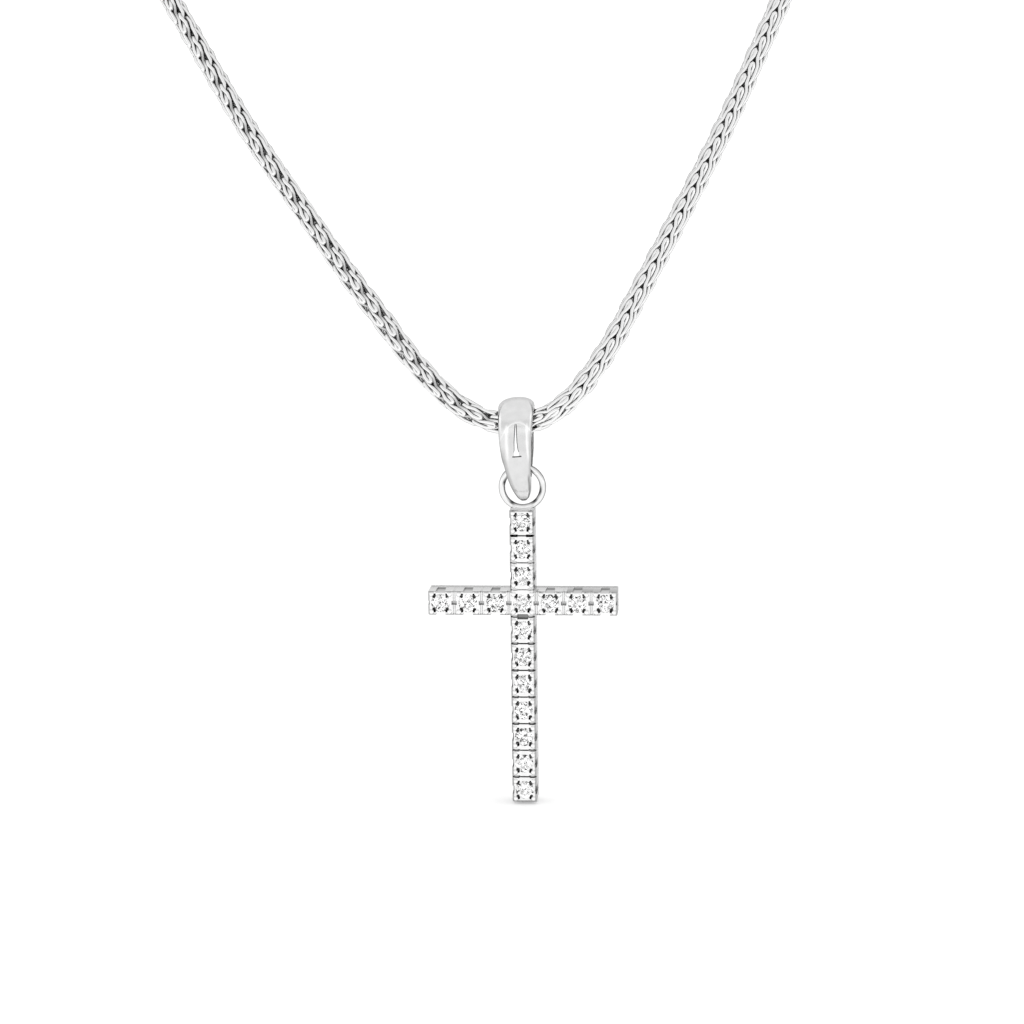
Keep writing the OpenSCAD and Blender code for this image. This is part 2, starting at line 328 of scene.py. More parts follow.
def facet_light(place, x, y, z):
    """Painted light on the crown: painted dark reflections along facet lines, on some facets and in
    slanting flecks.
    """
    lines = place.node("ShaderNodeTexVoronoi", {"feature": "DISTANCE_TO_EDGE"},
                       Vector=place, Scale=FACET_SCALE)
    shades = place.node("ShaderNodeTexVoronoi", output=1, Vector=place, Scale=FACET_SCALE)
    light = 1 - (1 - lines.ramp(*FACET_LINES)) * LINES_DARK
    light = light * (1 - shades.ramp(*FACET_SHADES) * SHADES_DARK)
    rise = x + z
    fall = x - z
    for one, other in ((rise * FLECK_SLANT, fall), (rise, fall * FLECK_SLANT)):
        slant = place.node("ShaderNodeCombineXYZ", X=one, Y=y, Z=other)
        light = light * (1 - slant.noise(FLECK_SCALE, 1).ramp(*FLECK_EDGE) * FLECK_DARK)
    return light


def brilliant():
    """Cut stone: clear and bright, with painted shade in drops beside the prongs and painted dark
    reflections in flecks and along facet lines.
    """
    made, shader, tree = paint("brilliant", Transmission_Weight=1, IOR=2.42, Roughness=0,
                               Emission_Color=grey(1), Emission_Strength=STONE_PAINTED_GLOW)
    place = coordinates(tree, "Object")
    x, y, z = place.parts()
    light = facet_light(place, x, y, z) * (1 - corner_drops(place, x, z))
    crown = (CROWN_Y * MM - y).math("GREATER_THAN", 0)
    painted_dark = crown * (1 - light)
    # A dark shader, mixed in for the painted dark reflections and painted shade on the crown
    dark = tree.nodes.new("ShaderNodeBsdfPrincipled")
    dark.inputs["Base Color"].default_value = grey(0.02)
    dark.inputs["Roughness"].default_value = 0.4
    blend = tree.nodes.new("ShaderNodeMixShader")
    tree.links.new(painted_dark.out, blend.inputs["Fac"])
    tree.links.new(shader.outputs[0], blend.inputs[1])
    tree.links.new(dark.outputs[0], blend.inputs[2])
    tree.links.new(blend.outputs[0], tree.nodes["Material Output"].inputs["Surface"])
    return made


BRILLIANT = brilliant()


def put(obj, material, smooth=False):
    """Gives an object one material, and smooth or flat shading."""
    obj.data.materials.clear()
    obj.data.materials.append(material)
    if smooth:
        obj.data.shade_smooth()
    else:
        obj.data.shade_flat()


for name, node in frame["nodes"].items():
    put(node, BRILLIANT if name.startswith("stone") else POLISHED)


# Wheat chain

# The route of the chain's middle, from the left end at the nape, through the bail, to the right end
ROUTE = [
    (-7.5, 0, 0), (-15, 0, 0), (-28, -3, -1), (-43.5, -12, -4), (-54.5, -26, -9.5),
    (-58, -43, -17.5), (-55, -61, -28), (-48, -78, -40), (-38.5, -92.5, -53.5),
    (-27, -105, -68), (-14.5, -115.8, -84.6), (-9.5, -119.8, -91.9), (-6, -122.2, -96.4),
    (-3.5, -124, -99.5), (-1.5, -125.4, -101.8), (0, -126.3, -103.6), (1.2, -126.9, -104.8),
    (2.4, -127.5, -105.8), (3.6, -127.9, -106.5), (4.8, -128, -106.9), (6, -128, -107),
    (7, -128, -106.8), (8, -127.8, -106.3), (9, -127.3, -105.5), (10, -126.6, -104.3),
    (11, -125.8, -102.8), (12.4, -124.4, -100.3), (14.4, -122.4, -96.6), (17, -119.6, -91.6),
    (20.2, -115.8, -84.6), (29.5, -105, -68), (39.5, -92.5, -53.5), (48, -78, -40),
    (55, -61, -28), (58, -43, -17.5), (54.5, -26, -9.5), (43.5, -12, -4), (28, -3, -1),
    (15, 0, 0), (7.5, 0, 0)]
SEAT = 20  # the number of the point under the bail
STEPS = 24  # of the curve between two points
TANGENT_REACH = 0.4  # to either side of the place where the direction is taken
# How the chain's face turns from the front towards the outer side, by the length from the bail
ROLL_AT = [-60, -28, -24, -22, -20.5, -17, -9, -7, -5.5, -4, -1, 2]
ROLLS = [32, 33, 30, 24, 22, 15, 0, 3, 11, 13, 0, -12]


class Line:
    """The chain's middle as a smooth curve, with its length and the directions across it."""

    def __init__(self):
        way = np.array(ROUTE, float)
        gaps = np.diff(way, axis=0)
        reach = np.linalg.norm(gaps, axis=1)
        way_to = gaps / reach[:, None]
        tangent = np.vstack([way_to[:1],
                             (way_to[:-1] * reach[1:, None] + way_to[1:] * reach[:-1, None])
                             / (reach[:-1] + reach[1:])[:, None], way_to[-1:]])
        u = np.arange(STEPS)[:, None] / STEPS
        parts = [(2 * u**3 - 3 * u**2 + 1) * way[i] + (u**3 - 2 * u**2 + u) * reach[i] * tangent[i]
                 + (3 * u**2 - 2 * u**3) * way[i + 1] + (u**3 - u**2) * reach[i] * tangent[i + 1]
                 for i in range(len(reach))]
        self.points = np.vstack(parts + [way[-1:]])
        self.along = np.r_[0, np.cumsum(np.linalg.norm(np.diff(self.points, axis=0), axis=1))]
        self.length = self.along[-1]
        self.seat = self.along[SEAT * STEPS]

    def at(self, s):
        """The middle of the chain at a length along it."""
        return np.stack([np.interp(s, self.along, self.points[:, k]) for k in range(3)], axis=-1)

    def place(self, s, face, across):
        """A point beside the middle: face towards the front, and across at right angles to it."""
        tangent = self.at(s + TANGENT_REACH) - self.at(s - TANGENT_REACH)
        tangent /= np.linalg.norm(tangent, axis=-1, keepdims=True)
        side = np.cross(tangent, (0, -1, 0))
        side /= np.linalg.norm(side, axis=-1, keepdims=True)
        out = np.cross(side, tangent)
        turn = np.interp(s - self.seat, ROLL_AT, np.radians(ROLLS))
        c, d = np.cos(turn)[:, None], np.sin(turn)[:, None]
        return (self.at(s) + face[:, None] * (c * out + d * side)
                + across[:, None] * (c * side - d * out))


LINE = Line()

WIRE_D = 0.205
WIRE_SIDES = 6
RIGHT_LIGHTER = 0.05  # painted shade reaches less deep into the right strand's closer links
LINK_PITCH = 1.68  # the pitch that the link's shape is given for
PITCH_LEFT = 1.72
PITCH_RIGHT = 1.65
PITCH_BLEND = 2  # how many pitches it takes from the one to the other
SHAPE_BLEND = 8  # over how many half pitches, under the bail, open links turn into close ones
LINK_REACH = 1.95  # how many pitches a link reaches onwards from where it begins
FIRST_LINK = 0.6  # where the first link begins on the line


def warp(n):
    """The length along the chain after n pitches from the bail, to either side."""
    mean = (PITCH_LEFT + PITCH_RIGHT) / 2
    half = (PITCH_LEFT - PITCH_RIGHT) / 2
    return LINE.seat + mean * n - half * (np.sqrt(n * n + PITCH_BLEND**2) - PITCH_BLEND)


# Half of a link's wire, from inside the chain out over one side to its tip and back, as guide points
# of a smooth curve: along the chain, towards its face and across. The other half is the same turned
# half round the chain. The links of the left strand lie more open than those of the right.
OPEN_LINK = [
    (0.108, -0.087, -0.003), (0.387, -0.093, 0.226), (0.604, 0.074, 0.437), (0.918, 0.034, 0.507),
    (1.234, 0.167, 0.484), (1.586, 0.157, 0.462), (1.940, 0.154, 0.510), (2.180, 0.182, 0.205),
    (2.548, 0.291, 0.118), (2.870, 0.466, 0.252), (3.172, 0.497, 0.088), (2.777, 0.510, -0.036),
    (2.405, 0.494, 0.102), (2.074, 0.299, 0.137), (1.721, 0.342, 0.027), (1.399, 0.287, 0.192),
    (1.076, 0.218, 0.377), (0.724, 0.341, 0.364), (0.353, 0.439, 0.298), (0.055, 0.179, 0.310)]
CLOSE_LINK = [
    (0.076, -0.062, -0.006), (0.341, -0.116, 0.224), (0.576, 0.076, 0.391), (0.895, 0.126, 0.492),
    (1.243, 0.145, 0.483), (1.595, 0.121, 0.491), (1.913, 0.062, 0.335), (2.173, 0.247, 0.171),
    (2.532, 0.312, 0.169), (2.896, 0.397, 0.216), (3.183, 0.509, 0.060), (2.779, 0.505, -0.030),
    (2.417, 0.490, 0.084), (2.084, 0.451, 0.235), (1.729, 0.485, 0.150), (1.436, 0.372, 0.335),
    (1.090, 0.299, 0.417), (0.733, 0.328, 0.361), (0.373, 0.354, 0.388), (0.039, 0.286, 0.283)]
# Where the wire's stations lie on that curve, closest together round the tip
STATIONS = [0, 1, 2, 3.2, 4.5, 6, 7.2, 8.2, 8.9, 9.3, 9.7, 10.1, 10.6, 11.4, 12.6, 14, 15.4, 16.6,
            17.6, 18.4, 19.2]


def link_shape(guides):
    """The closed middle line of a link's wire."""
    half = np.array(guides)
    ring = np.vstack([half, half * (1, -1, -1)])
    points = []
    for u in STATIONS + [u + len(half) for u in STATIONS]:
        i = int(u)
        f = u - i
        weights = [(1 - f)**3 / 6, (3 * f**3 - 6 * f**2 + 4) / 6,
                   (-3 * f**3 + 3 * f**2 + 3 * f + 1) / 6, f**3 / 6]
        points.append(sum(w * ring[(i - 1 + k) % len(ring)] for k, w in enumerate(weights)))
    return np.array(points)


OPEN_SHAPE = link_shape(OPEN_LINK)
CLOSE_SHAPE = link_shape(CLOSE_LINK)


def links(name, low, high):
    """The links between two counts of half pitches from the bail, as one mesh."""
    curve = bpy.data.curves.new(name, "CURVE")
    curve.dimensions = "3D"
    curve.bevel_depth = WIRE_D / 2 * MM
    curve.bevel_resolution = 1
    depths = []
    for k in range(low, high):
        mirror = 1 if k % 2 else -1
        t = np.clip(k / SHAPE_BLEND + 0.5, 0, 1)
        shape = OPEN_SHAPE * (1 - t) + CLOSE_SHAPE * t
        s = warp(k / 2 + shape[:, 0] / LINK_PITCH)
        points = LINE.place(s, shape[:, 1], mirror * shape[:, 2]) * MM
        # How far out each station lies, which sets the wire's painted shade
        depths.append(np.hypot(shape[:, 1], shape[:, 2]) + RIGHT_LIGHTER * t)
        spline = curve.splines.new("POLY")
        spline.points.add(len(points) - 1)
        spline.points.foreach_set("co", np.c_[points, np.ones(len(points))].ravel())
        spline.use_cyclic_u = True
    holder = bpy.data.objects.new(name + "_curve", curve)
    bpy.context.scene.collection.objects.link(holder)
    mesh = bpy.data.meshes.new_from_object(holder.evaluated_get(bpy.context.evaluated_depsgraph_get()))
    bpy.data.objects.remove(holder)
    mesh.name = name
    depth = np.repeat(np.concatenate(depths), WIRE_SIDES)
    mesh.attributes.new("outwards", "FLOAT", "POINT").data.foreach_set("value", depth)
    made = bpy.data.objects.new(name, mesh)
    bpy.context.scene.collection.objects.link(made)
    put(made, WIRE, smooth=True)
    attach(made, "necklace")
    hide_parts("chain")


links("chain_left", -math.floor((LINE.seat - FIRST_LINK) / PITCH_LEFT * 2), 0)
links("chain_right", 0, math.floor(((LINE.length - LINE.seat) / PITCH_RIGHT - LINK_REACH) * 2))


# Shapes with a tone of their own at each point, which holds painted light and shade

MERGE = 0.0005  # points closer than this are one


def ease(value, low, high):
    """0 at low, 1 at high, and smooth between, for a number or an array."""
    t = np.clip((value - low) / (high - low), 0, 1)
    return t * t * (3 - 2 * t)


def bump(value, middle, width):
    """1 at the middle, and falling off smoothly to both sides."""
    return np.exp(-((value - middle) / width)**2)


def sheet(columns, rows, place):
    """A grid of columns by rows, each point put where place(column share, row share) says."""
    shape = bmesh.new()
    bmesh.ops.create_grid(shape, x_segments=columns, y_segments=rows, size=0.5)
    for vert in shape.verts:
        vert.co = place(vert.co.x + 0.5, vert.co.y + 0.5)
    return shape


def tint(shape, tones):
    """Gives each point of a shape its tone."""
    layer = shape.verts.layers.float.new("tone")
    for vert, tone in zip(shape.verts, tones):
        vert[layer] = tone


def join(shape, other):
    """Adds another tinted shape to a tinted shape.

    Merged points leave gaps that new points fill, so the first few tones written here go to the last
    points of the first shape: on the crossbar's right arm and on the bail's inner rim. They look darker.
    """
    layer = other.verts.layers.float["tone"]
    tones = [vert[layer] for vert in other.verts]
    start = len(shape.verts)
    mesh = bpy.data.meshes.new("part")
    other.to_mesh(mesh)
    other.free()
    shape.from_mesh(mesh)
    bpy.data.meshes.remove(mesh)
    shape.verts.ensure_lookup_table()
    layer = shape.verts.layers.float["tone"]
    for vert, tone in zip(shape.verts[start:], tones):
        vert[layer] = tone


def bridge(shape):
    """Closes the band between the open rims of a shape."""
    rims = [e for e in shape.edges if e.is_boundary]
    bmesh.ops.bridge_loops(shape, edges=rims)


def finish(shape, name, material, body, node, sharp):
    """Puts a shape into the scene: the body it rides, the node it replaces, and its sharp angle."""
    bmesh.ops.remove_doubles(shape, verts=shape.verts, dist=MERGE * MM)
    bmesh.ops.recalc_face_normals(shape, faces=shape.faces)
    mesh = bpy.data.meshes.new(name)
    shape.to_mesh(mesh)
    shape.free()
    made = bpy.data.objects.new(name, mesh)
    bpy.context.scene.collection.objects.link(made)
    put(made, material, smooth=True)
    mesh.set_sharp_from_angle(angle=math.radians(sharp))
    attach(made, body)
    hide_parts(node)


# Bail, upright and with its hook's middle at the origin until it is placed

BAIL_H = 5.72
BAIL_W = 1.84
BAIL_DEPTH = 2.74
BAIL_TIP = -1.88
BAIL_LEAN = math.radians(4.2)
HOOK = Vector((6.1728, -128, -109.3537))
BAIL_SHIFT = Vector((-0.057, 0, 0))
HOLE_DEPTH = 1.98
HOLE_LOW, HOLE_TOP = -0.6, 3.3
# Half of the bail's width, as a share of the width at its crown, by its height from the tip
BAIL_WIDTHS = [(0, 0.24), (0.03, 0.4), (0.09, 0.53), (0.17, 0.63), (0.27, 0.71), (0.36, 0.79),
               (0.46, 0.88), (0.67, 0.98), (0.88, 1.07), (1, 1.08)]
BAIL_TAPER = 0.7
# How far the bail bows to the left, by its height
BOW_AT = [-1.88, -1.36, -0.9, -0.45, 0, 0.93, 1.59, 3.1, 3.84]
BOWS = [0, -0.03, -0.08, -0.12, -0.13, -0.13, -0.12, 0.01, 0.05]
# How square the section of the dome is at the crown, and how much squarer at the tip
SQUARE, SQUARE_MORE = 2.2, 2.8
EDGE_ROUND = 0.1  # how much of the left inner edge is rounded off
BAIL_GRID = (256, 72)
PANEL_MID, PANEL_HALF = 0.13, 0.48
PANEL_LOW, PANEL_TOP = 0.5, 2.62
PANEL_ARCH = 0.25  # how much lower the panel's top is at its sides
PANEL_SUNK = 0.035


def squared(value, power):
    """A sine or cosine pushed towards the corners of a square, for a power above 2."""
    return math.copysign(abs(value) ** (2 / power), value)


def taper(t):
    """How deep the bail's outline is, by the angle from its crown: round above and pointed below."""
    return math.sin(t) * max(math.cos(t / 2), 0) ** BAIL_TAPER


FULLEST = max(taper(math.radians(t)) for t in range(1, 180))


def half_width(z):
    """Half of the bail's width at a height on it."""
    share, width = zip(*BAIL_WIDTHS)
    return BAIL_W / 2 * np.interp((z - BAIL_TIP) / BAIL_H, share, width)


def panel(x, z):
    """1 inside the sunk panel on the bail's front, which is round at its top and runs out below."""
    off = (x - PANEL_MID) / PANEL_HALF
    top = PANEL_TOP - PANEL_ARCH * off**2
    sides = ease(PANEL_HALF * (1 - abs(off)), 0, 0.07)
    return sides * ease(top - z, 0, 0.08) * ease(z, PANEL_LOW, PANEL_LOW + 0.9)


def bail_place(turn, over):
    """A point of the bail: turn goes round its hole, over across its dome from edge to edge."""
    inner = Vector((HOLE_DEPTH / 2 * math.sin(turn),
                    (HOLE_TOP + HOLE_LOW) / 2 + (HOLE_TOP - HOLE_LOW) / 2 * math.cos(turn)))
    side, t = (-1, 2 * math.pi - turn) if turn > math.pi else (1, turn)
    outer = Vector((side * BAIL_DEPTH / 2 * taper(t) / FULLEST,
                    BAIL_TIP + BAIL_H / 2 + BAIL_H / 2 * math.cos(t)))
    power = SQUARE + SQUARE_MORE * (1 - math.cos(turn)) / 2
    p = inner + squared(math.sin(over), power) * (outer - inner)
    x = half_width(p.y) * squared(math.cos(over), power)
    if x < 0:  # the edge that the ring swings past
        x *= 1 - EDGE_ROUND * ease(0.5 - math.sin(over), 0, 0.5) * ease(0.5 - p.y, 0, 0.4)
    sunk = PANEL_SUNK * panel(x, p.y) if side < 0 and math.sin(over) > 0.7 else 0
    return Vector((x + np.interp(p.y, BOW_AT, BOWS), p.x + sunk, p.y))


# The bail's plain tone, how much painted light and shade make places brighter or darker, and the painted
# tones of its inner rims
BAIL_TONE = 0.84
BACK_LIGHT, RIM_LIGHT, RIDGE_LIGHT, TIP_LIGHT = 0.1, 0.12, 0.24, 0.25
FACE_SHADE, PANEL_SHADE, LEFT_SHADE, EDGE_SHADE, LINE_SHADE = 0.12, 0.05, 0.22, 0.2, 0.4
INNER_RIM = 0.005
INNER_BACK, INNER_FRONT = 0.97, 0.82


def bail_painted_light(x, y, z):
    """The painted light and shade on the bail's metal, by the place on it."""
    aside = x - np.interp(z, BOW_AT, BOWS)
    edge = half_width(z) - abs(aside)
    if edge < INNER_RIM:
        return INNER_BACK if y > 0 else INNER_FRONT
    off = (aside - PANEL_MID) / PANEL_HALF
    front = ease(-y, 0.1, 0.5)
    # Painted highlights on the arch over the panel and on the ridges beside it
    rim = bump(z, PANEL_TOP + 0.07 - PANEL_ARCH * off**2, 0.06)
    ridge = bump(off, -1.2, 0.16) + bump(off, 1.1, 0.1)
    ridge *= ease(z, 0.3, 1.1) * ease(PANEL_TOP - z, 0, 0.2)
    # Painted shade along the lower left edge, and a painted dark line inside the lower right edge
    left = ease(0.3 - edge, 0, 0.16) * ease(1.5 - z, 0, 0.9) * (aside < 0)
    line = bump(edge, 0.1, 0.04) * (aside > 0) * ease(-z, 0.2, 0.6) * ease(z, -1.7, -1.4)
    face = ease(PANEL_TOP + 0.1 - z, -0.15, 0.1)
    face *= RIDGE_LIGHT * ridge - FACE_SHADE - PANEL_SHADE * panel(aside, z) - LEFT_SHADE * left
    # Painted light on the tip
    tip = TIP_LIGHT * ease(-z, 1.2, 1.5)
    tone = BAIL_TONE + front * (RIM_LIGHT * rim + face + tip - LINE_SHADE * line)
    # Painted light towards the back, and painted shade along the edges
    return float(tone + BACK_LIGHT * ease(y, 0.1, 0.5) - EDGE_SHADE * ease(0.13 - edge, 0, 0.1))


def on_bail(z):
    """How far the middle of the bail's front lies before its centre, at a height on it."""
    t = math.acos(np.clip((z - BAIL_TIP - BAIL_H / 2) / (BAIL_H / 2), -1, 1))
    return -BAIL_DEPTH / 2 * taper(t) / FULLEST


# The slender relief on the panel: its ends, its middle, its half width above, and how that grows
# down it and flares at its foot
SPIKE_TOP, SPIKE_FOOT = 2.56, 0.78
SPIKE_X = 0.05
SPIKE_HALF, SPIKE_GROWS, SPIKE_FLARE = 0.018, 0.095, 0.05
SPIKE_BASE = 0.004  # its base lies this far behind the metal's face
SPIKE_ROOT = 0.03  # and it is rooted this deep
# It and the lines of painted shade round it: how much wider, how high, the tone (a painted highlight on
# the relief), and from where to where down it
RELIEF_GRID = (40, 8)
RELIEFS = [(0.05, 0.012, 0.1, 0, 0.86), (0.03, 0.012, 0.35, 0.8, 0.99),
           (0.11, 0.014, 0.08, 0.985, 1.025), (0, 0.04, 0.97, 0, 0.985)]


def spike_place(a, b, wide, rise):
    """A point of the relief: a goes down it from its point to its foot, and b across it."""
    z = SPIKE_TOP + (SPIKE_FOOT - SPIKE_TOP) * a
    half = (SPIKE_HALF + SPIKE_GROWS * a + SPIKE_FLARE * ease(a, 0.78, 0.9)) + wide
    x = SPIKE_X + half * (2 * b - 1)
    dome = 1 - (2 * b - 1)**2
    y = on_bail(z) + PANEL_SUNK * panel(x, z) + SPIKE_BASE - rise * dome
    return Vector((x + np.interp(z, BOW_AT, BOWS), y, z))


def bail():
    """The folded strip with its sunk panel and the relief on it."""
    dome = sheet(*BAIL_GRID, lambda a, b: bail_place(2 * math.pi * a, math.pi * b))
    bmesh.ops.remove_doubles(dome, verts=dome.verts, dist=MERGE)
    bridge(dome)
    tint(dome, [bail_painted_light(*vert.co) for vert in dome.verts])
    for wide, rise, level, top, foot in RELIEFS:
        relief = sheet(*RELIEF_GRID, lambda a, b: spike_place(top + a * (foot - top), b, wide, rise))
        made = bmesh.ops.extrude_face_region(relief, geom=relief.faces[:])["geom"]
        roots = [v for v in made if isinstance(v, bmesh.types.BMVert)]
        bmesh.ops.translate(relief, vec=(0, SPIKE_ROOT, 0), verts=roots)
        tint(relief, [level] * len(relief.verts))
        join(dome, relief)
    place = (Matrix.Scale(MM, 4) @ Matrix.Translation(HOOK + BAIL_SHIFT)
             @ Matrix.Rotation(-BAIL_LEAN, 4, "Y"))
    bmesh.ops.transform(dome, matrix=place, verts=dome.verts)
    finish(dome, "bail_dressed", BAIL_GOLD, "bail", "bail", sharp=40)


bail()


# Cross, measured from the middle of the crossing stone

CELL = 0.0375  # the grid's cell, which divides the pitch and the collets evenly
COLLET = 0.675  # half of a collet's width
HALF_PITCH = STONE_PITCH / 2
ARM_END = 5.175
CROSS_TOP, CROSS_FOOT = 5.175, -11.175
FRONT, BACK = -0.8, 0.8
CORNER_R = 0.06
EDGE_R = 0.07
FRONT_TONE, BACK_TONE = 0.9, 0.94
TOP_TONE = 1  # painted light along the edges that look up
SIDE_TONE = 0.62  # painted shade along the upright's right side
# Painted shade along the outer edges, on the front and on the back
EDGE_DARK, BACK_EDGE_DARK = 0.58, 0.4
EDGE_WIDE = (0.12, 0.1)  # on the upright and on the crossbar
STONES_ABOVE = 3
# Painted shade in the saw cuts down the upright: the first is open and black, the next two nearly closed
SAW_TONES = [0.06, 0.5, 0.55, 0.4, 0.34, 0.3, 0.34, 0.32, 0.36, 0.34]
CUT_SIDE = 0.012  # half of the width over which a cut's side falls
# Half the width of a saw cut, and of the lenses at its ends: how much more, where, and how long they are
CUT_HALF, LENS_MORE, LENS_AT, LENS_LONG = 0.016, 0.04, 0.42, 0.17
# A saw cut's depth, and how much deeper it is, the darker its painted shade is than the plain tone
CUT_DEEP, CUT_DEEPER, CUT_PLAIN = 0.04, 0.5, 0.6
# Lines of painted shade between the crossbar's collets, with a bright thread left unshaded in the middle
LINE_HALF, LINE_DEEP, LINE_DARK, THREAD_HALF = 0.06, 0.05, 0.2, 0.02
# Pits between collets: half their width and height, and their painted shade. One pit lies under the
# crossing.
PIT_DEEP = 0.3
PIT = (0.12, 0.11, 0.45)
UNDER_PIT = (0.28, 0.12, 0.22)
# Gallery cuts through the sides: half their width, their depth and painted shade, on the upright and the
# crossbar
GALLERY_HALF = (0.19, 0.25)
GALLERY_DEEP = (0.8, 1.1)
GALLERY_TONE = (0.8, 0.85)
GALLERY_FROM = 0.57
LEFT_TONES, LEFT_TONES_AT = (0.22, 0.5), 0.64  # painted shade, dark inside and grey outside, on the upright's left
# Drops: their depth, and the painted shade in them
DROP_DEEP, DROP_TONE = 0.35, 0.03
# Prongs: how far their middles lie from the stone's, their radius, foot, rise and tones: a painted
# highlight, and painted shade towards their edges
PRONG_AT, PRONG_R = 0.49, 0.145
PRONG_FOOT, PRONG_RISE = -0.03, 0.14
PRONG_TONE, PRONG_DARK = 0.97, 0.35
# Wells for the stones: radius, depth at the rim, slope inwards and how far it goes, and painted shade
WELL_R, WELL_LIP, WELL_SLOPE, WELL_WIDE, WELL_TONE = 0.505, 0.12, 0.95, 0.42, 0.6
# Light holes behind the stones: radius, depth and painted shade
LIGHT_HOLE_R, LIGHT_HOLE_DEEP, LIGHT_HOLE_TONE = 0.25, 0.5, 0.12


def cross_grid():
    """A fine grid in the outline of the cross, facing the front."""
    shape = bmesh.new()
    for left, low, right, high in ((-COLLET, CROSS_FOOT, COLLET, CROSS_TOP),
                                   (-ARM_END, -COLLET, -COLLET, COLLET),
                                   (COLLET, -COLLET, ARM_END, COLLET)):
        place = (Matrix.Translation(((left + right) / 2, 0, (low + high) / 2))
                 @ Matrix.Rotation(math.pi / 2, 4, "X")
                 @ Matrix.Diagonal((right - left, high - low, 1, 1)))
        bmesh.ops.create_grid(shape, x_segments=round((right - left) / CELL),
                              y_segments=round((high - low) / CELL), size=0.5, matrix=place)
    bmesh.ops.remove_doubles(shape, verts=shape.verts, dist=CELL / 4)
    return shape


def from_stone(value):
    """How far a place lies from the nearest stone's middle, one way."""
    return value - STONE_PITCH * np.round(value / STONE_PITCH)


def on_upright(x):
    """Whether a place lies on the upright and not on the crossbar's arms."""
    return np.abs(x) < COLLET + CELL / 2


class Places:
    """Where the points of the grid lie: from the stones, from the gaps and from the outline."""

    def __init__(self, x, z):
        self.x = x
        self.z = z
        self.u = np.abs(from_stone(x))
        self.v = np.abs(from_stone(z))
        self.r = np.hypot(self.u, self.v)
        self.upright = on_upright(x)
        self.along = np.where(self.upright, self.v, self.u)
        self.across = np.where(self.upright, self.u, self.v)
        self.gap = HALF_PITCH - self.along
        in_upright = np.minimum(COLLET - np.abs(x), np.minimum(CROSS_TOP - z, z - CROSS_FOOT))
        in_bar = np.minimum(COLLET - np.abs(z), ARM_END - np.abs(x))
        self.inside = np.maximum(in_upright, in_bar)
        bar_top = ~self.upright & (z > COLLET - CELL / 2)
        self.looks_up = bar_top | (z > CROSS_TOP - CELL / 2)
        crossing = self.upright & (np.abs(z) < COLLET + CELL / 2)
        self.gallery = (self.along < self.by_arm(GALLERY_HALF)) & (self.across > GALLERY_FROM)
        self.gallery &= ~crossing

    def by_arm(self, values):
        """The first value on the upright, and the second on the crossbar."""
        return np.where(self.upright, *values)

    def rounded(self):
        """How far the rounded outer edge falls behind the plane."""
        t = np.clip(self.inside / EDGE_R, 0, 1)
        return EDGE_R * (1 - np.sqrt(1 - (1 - t)**2))


def saw_cuts(at, high, tone):
    """Lens-shaped cuts between the upright's collets, and shallow lines between the crossbar's, both
    with painted shade.
    """
    lens = CUT_HALF + LENS_MORE * bump(at.across, LENS_AT, LENS_LONG)
    cut = ease(lens - at.gap, -CUT_SIDE, CUT_SIDE) * at.upright
    number = np.clip(np.round(STONES_ABOVE - 0.5 - at.z / STONE_PITCH), 0, len(SAW_TONES) - 1)
    dark = np.array(SAW_TONES)[number.astype(int)]
    line = ease(LINE_HALF - at.gap, -CUT_SIDE, CUT_SIDE) * ~at.upright
    high = high - (CUT_DEEP + CUT_DEEPER * (CUT_PLAIN - dark)) * cut - LINE_DEEP * line
    tone = tone + (dark - tone) * cut
    return high, tone * (1 - LINE_DARK * line * (at.gap > THREAD_HALF))


def pits(at, high, tone):
    """Small pits in the middle of the gaps, and a wider one under the crossing stone, with painted shade
    in them.
    """
    x = np.abs(at.x)
    z = np.abs(at.z)
    half_w, half_h, level = PIT
    pit = (at.across < half_h) & (at.gap < half_w) & ~at.upright
    pit |= (np.abs(x - HALF_PITCH) < half_w) & (z < half_h)
    high = np.where(pit, -PIT_DEEP, high)
    tone = np.where(pit, level, tone)
    half_w, half_h, level = UNDER_PIT
    under = (x < half_w) & (np.abs(at.z + HALF_PITCH) < half_h)
    return np.where(under, -PIT_DEEP, high), np.where(under, level, tone)


def gallery_cuts(at, high, tone):
    """U-shaped cuts through the sides of the collets, with painted shade that is darker on the upright's
    left.
    """
    high = np.where(at.gallery, -at.by_arm(GALLERY_DEEP), high)
    tone = np.where(at.gallery, at.by_arm(GALLERY_TONE), tone)
    left = at.gallery & at.upright & (at.x < 0)
    return high, np.where(left, np.where(at.across < LEFT_TONES_AT, *LEFT_TONES), tone)


def drops_and_prongs(at, high, tone):
    """Drilled drops at the stones' corners with painted shade in them, and the prongs with domed tips
    outside them, painted bright with painted shade towards their edges.
    """
    off = ((at.u - DROP_AT[0]) / DROP_SIZE[0])**2 + ((at.v - DROP_AT[1]) / DROP_SIZE[1])**2
    high = np.where(off < 1, -DROP_DEEP, high)
    tone = np.where(off < 1, DROP_TONE, tone)
    near = np.hypot(at.u - PRONG_AT, at.v - PRONG_AT) / PRONG_R
    dome = PRONG_FOOT + PRONG_RISE * np.sqrt(np.clip(1 - near**2, 0, 1))
    high = np.where(near < 1, np.maximum(high, dome), high)
    return high, np.where(near < 1, PRONG_TONE - PRONG_DARK * ease(near, 0.7, 1), tone)


